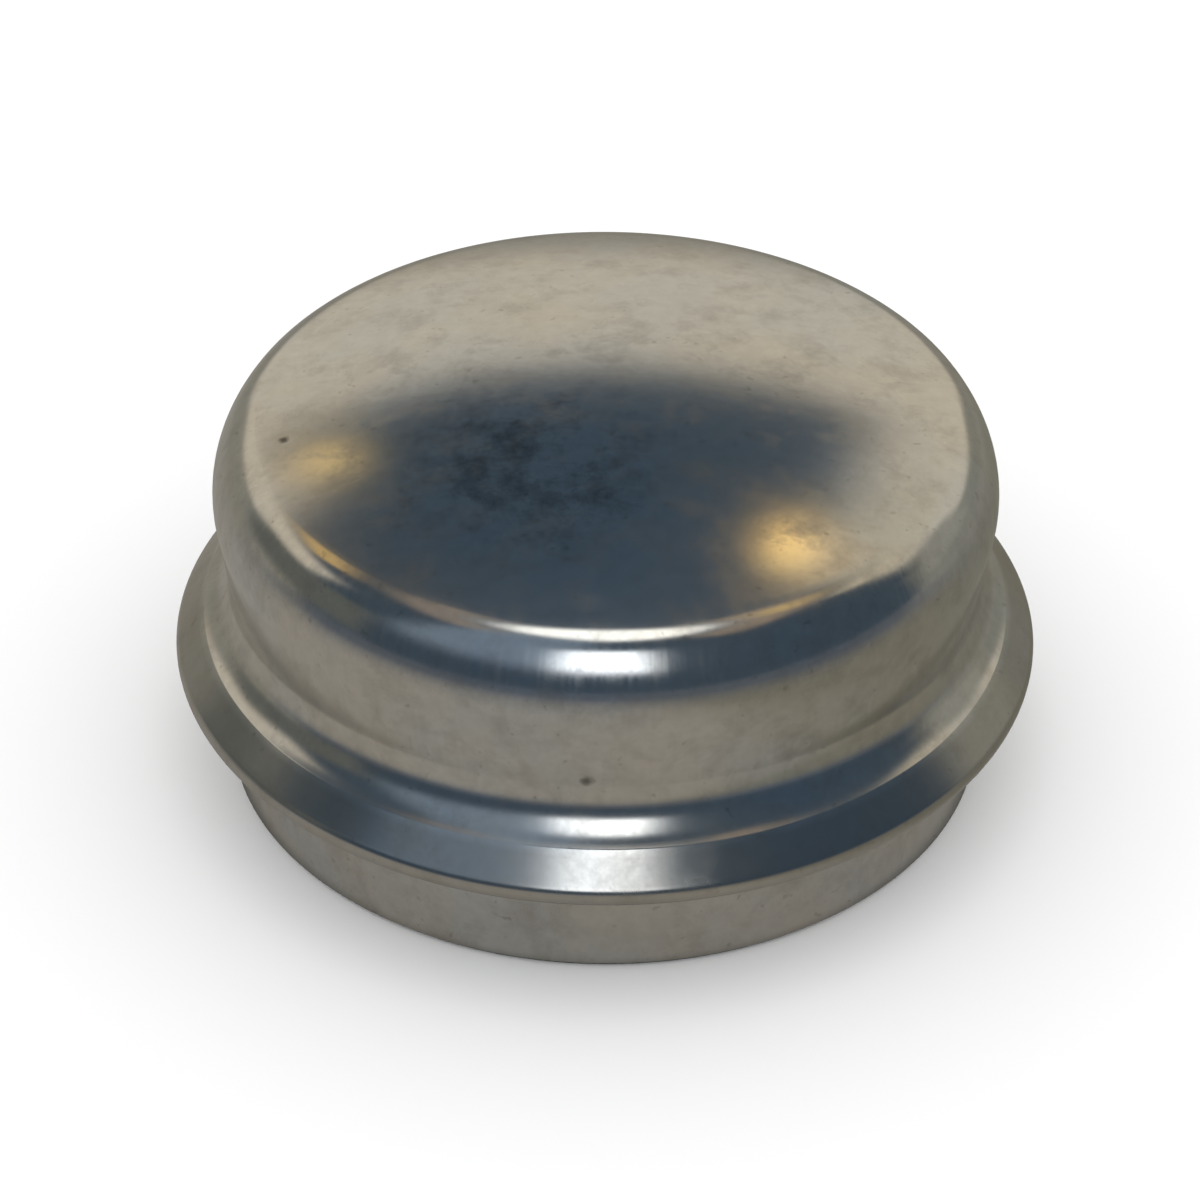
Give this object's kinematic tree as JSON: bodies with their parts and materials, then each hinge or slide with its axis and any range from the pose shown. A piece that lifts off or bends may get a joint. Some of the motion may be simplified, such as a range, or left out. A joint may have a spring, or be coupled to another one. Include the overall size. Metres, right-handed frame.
{
  "type": "hub dust cap",
  "caption": "Pressed sheet-steel dust cap: a domed cup with a rolled bead and a short skirt that presses into a wheel hub to keep grease in and dirt out.",
  "frame": {"origin": "centre of the skirt's cut rim, where the cap stands", "axes": "+Z along the cap's axis, from the open rim to the crown; X and Y are free by symmetry"},
  "size_m": [0.0572, 0.0572, 0.0281],
  "materials": {
    "zinc_plate": "bright zinc plate on drawn sheet, glossy, with light tarnish on the crown"
  },
  "bodies": {
    "root": {"dust_cap": "zinc_plate"}
  },
  "joints": []
}
